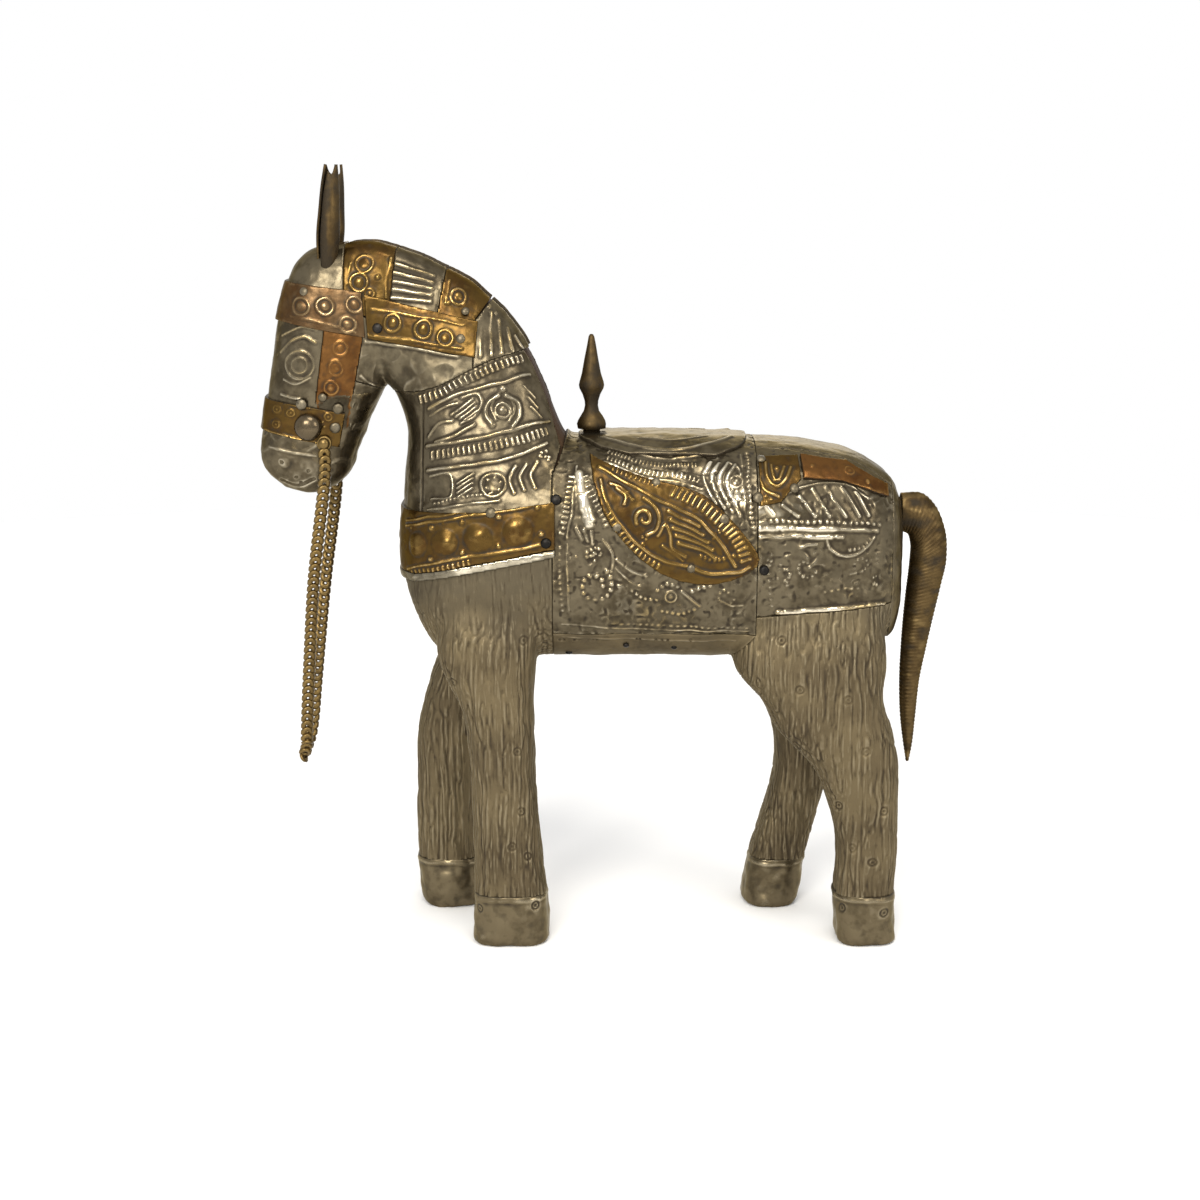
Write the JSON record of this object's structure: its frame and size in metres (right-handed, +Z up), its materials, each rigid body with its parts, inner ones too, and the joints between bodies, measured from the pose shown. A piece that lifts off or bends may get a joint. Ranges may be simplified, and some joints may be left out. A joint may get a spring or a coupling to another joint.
{
  "type": "wooden horse figurine",
  "caption": "Standing carved wooden horse clad in embossed white-metal, brass and copper sheets, with sheet ears, a saddle finial, a curved tail and a hanging chain rein.",
  "frame": {"origin": "on the ground, under the middle of the horse's box without the rein", "axes": "+Z up; the horse faces -X and its left side is -Y"},
  "size_m": [0.1776, 0.052, 0.1994],
  "materials": {
    "carved_wood": "bare reddish-brown carved wood, dull and dusty",
    "white_metal": "thin embossed white-metal sheet with brown patina in the hollows and bright worn ridges",
    "embossed_brass": "thin embossed brass sheet, tarnished, bright on the raised pattern",
    "embossed_copper": "thin copper-toned sheet strip, tarnished",
    "dark_bronze": "dark aged brass, satin",
    "chain_brass": "small curb chain and pins in dull yellow brass"
  },
  "bodies": {
    "horse": {"wooden_body": "carved_wood", "leg_front_left": "carved_wood", "leg_front_right": "carved_wood", "leg_hind_left": "carved_wood", "leg_hind_right": "carved_wood", "leg_sheet_front_left": "white_metal", "hoof_cap_front_left": "white_metal", "leg_sheet_front_right": "white_metal", "hoof_cap_front_right": "white_metal", "leg_sheet_hind_left": "white_metal", "hoof_cap_hind_left": "white_metal", "leg_sheet_hind_right": "white_metal", "hoof_cap_hind_right": "white_metal", "forehead_sheet": "white_metal", "face_plate": "white_metal", "jaw_sheet": "white_metal", "muzzle_cap": "white_metal", "throat_sheet": "white_metal", "neck_sheet": "white_metal", "belly_sheet": "white_metal", "rump_plate": "white_metal", "poll_plate_left": "embossed_brass", "poll_plate_right": "embossed_brass", "ribbed_plate_left": "white_metal", "ribbed_plate_right": "white_metal", "crest_plate_left": "embossed_brass", "crest_plate_right": "embossed_brass", "ray_plate_left": "white_metal", "ray_plate_right": "white_metal", "cheek_strap_left": "embossed_copper", "cheek_strap_right": "embossed_copper", "barrel_sheet_left": "white_metal", "barrel_sheet_right": "white_metal", "croup_sheet_left": "white_metal", "croup_sheet_right": "white_metal", "croup_cap": "white_metal", "browband": "embossed_copper", "noseband": "embossed_brass", "chest_collar": "embossed_brass", "throat_strap_left": "embossed_brass", "throat_strap_right": "embossed_brass", "saddle_flap_left": "embossed_brass", "saddle_flap_right": "embossed_brass", "croup_scroll_left": "embossed_brass", "croup_scroll_right": "embossed_brass", "croup_strip_left": "embossed_copper", "croup_strip_right": "embossed_copper", "saddle_seat": "white_metal", "finial": "dark_bronze", "tail": "dark_bronze", "ear_left": "dark_bronze", "dome_stud_left": "dark_bronze", "rein_pin_left": "chain_brass", "ear_right": "dark_bronze", "dome_stud_right": "dark_bronze", "rein_pin_right": "chain_brass"},
    "rein": {"rein_chain": "chain_brass"}
  },
  "joints": [
    {"name": "rein_swing", "type": "hinge", "parent": "horse", "child": "rein", "pos_m": [-0.07158, 0, 0.1299], "axis": [0, 1, 0], "range_deg": [-15, 60]}
  ]
}
